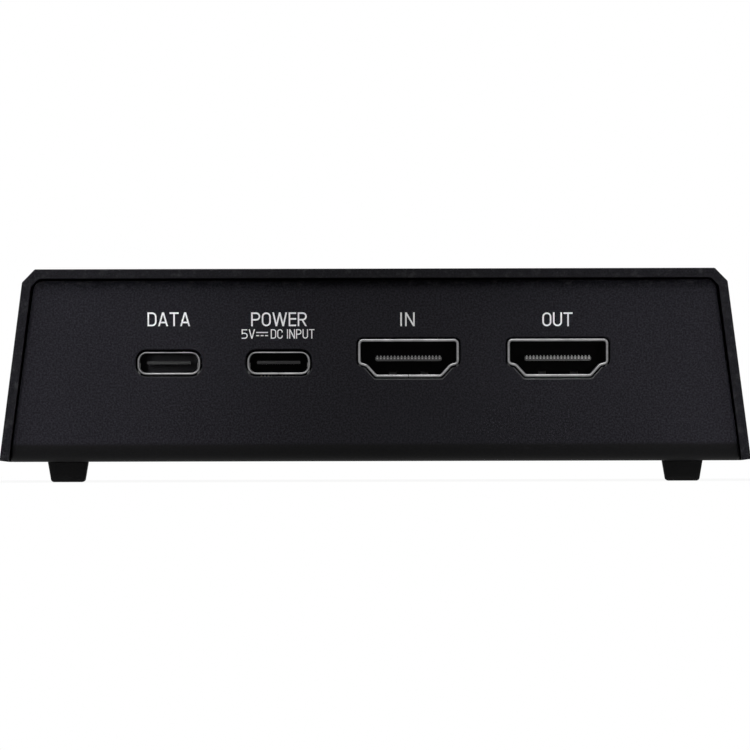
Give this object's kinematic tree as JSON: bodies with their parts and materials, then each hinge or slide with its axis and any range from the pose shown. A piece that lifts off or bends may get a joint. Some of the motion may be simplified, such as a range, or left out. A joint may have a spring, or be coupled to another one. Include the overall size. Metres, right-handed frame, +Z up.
{
  "type": "video capture box",
  "caption": "Low bevelled sheet-metal box with video in and out, data and power sockets across its recessed rear panel, on four tapered rubber feet.",
  "frame": {"origin": "midway under the box, at the level its feet stand on", "axes": "-Y is the rear panel's outward direction, +X runs to the right of someone looking at the rear panel, +Z is up"},
  "size_m": [0.1084, 0.08, 0.0307],
  "materials": {
    "case_coating": "fine matt black powder coat on bent sheet",
    "foot_rubber": "matt moulded rubber",
    "plated_steel": "bright zinc plate",
    "black_screws": "black plated, countersunk",
    "socket_steel": "drawn stainless shell",
    "socket_plastic": "black moulded insulator",
    "gold_contacts": "gold flashed contacts",
    "circuit_board": "black-green solder resist over glass fibre",
    "chip_resin": "moulded resin",
    "heat_sink_metal": "black anodised extrusion",
    "heat_pad": "soft silicone pad",
    "clear_pipe": "frosted clear acrylic",
    "light_lens": "diffuse resin",
    "ferrite": "pressed ferrite powder",
    "capacitor_can": "drawn can on a black base",
    "crystal_can": "seam welded lid",
    "ceramic": "fired ceramic"
  },
  "bodies": {
    "root": {"board_screws": "plated_steel", "board_standoffs": "plated_steel", "bulk_capacitor_front": "capacitor_can", "bulk_capacitor_rear": "capacitor_can", "capture_processor": "chip_resin", "chassis": "case_coating", "core_inductor": "ferrite", "core_regulator": "chip_resin", "cover_bracket_left": "case_coating", "cover_bracket_right": "case_coating", "cover_screws": "black_screws", "data_bridge_chip": "chip_resin", "data_contacts": "gold_contacts", "data_insulator": "socket_plastic", "data_shell": "socket_steel", "decoupling_capacitors": "ceramic", "flash_chip": "chip_resin", "foot_front_left": "foot_rubber", "foot_front_right": "foot_rubber", "foot_rear_left": "foot_rubber", "foot_rear_right": "foot_rubber", "heat_sink": "heat_sink_metal", "input_fuse": "ceramic", "io_inductor": "ferrite", "io_regulator": "chip_resin", "light_pipe": "clear_pipe", "main_board": "circuit_board", "memory_chip_front": "chip_resin", "memory_chip_rear": "chip_resin", "power_contacts": "gold_contacts", "power_insulator": "socket_plastic", "power_shell": "socket_steel", "processor_crystal": "crystal_can", "receiver_crystal": "crystal_can", "series_resistors": "ceramic", "status_light": "light_lens", "surge_diode": "chip_resin", "thermal_pad": "heat_pad", "top_cover": "case_coating", "video_in_contacts": "gold_contacts", "video_in_insulator": "socket_plastic", "video_in_protection": "chip_resin", "video_in_shell": "socket_steel", "video_out_contacts": "gold_contacts", "video_out_insulator": "socket_plastic", "video_out_protection": "chip_resin", "video_out_shell": "socket_steel", "video_receiver_chip": "chip_resin", "video_transmitter_chip": "chip_resin"}
  },
  "joints": []
}
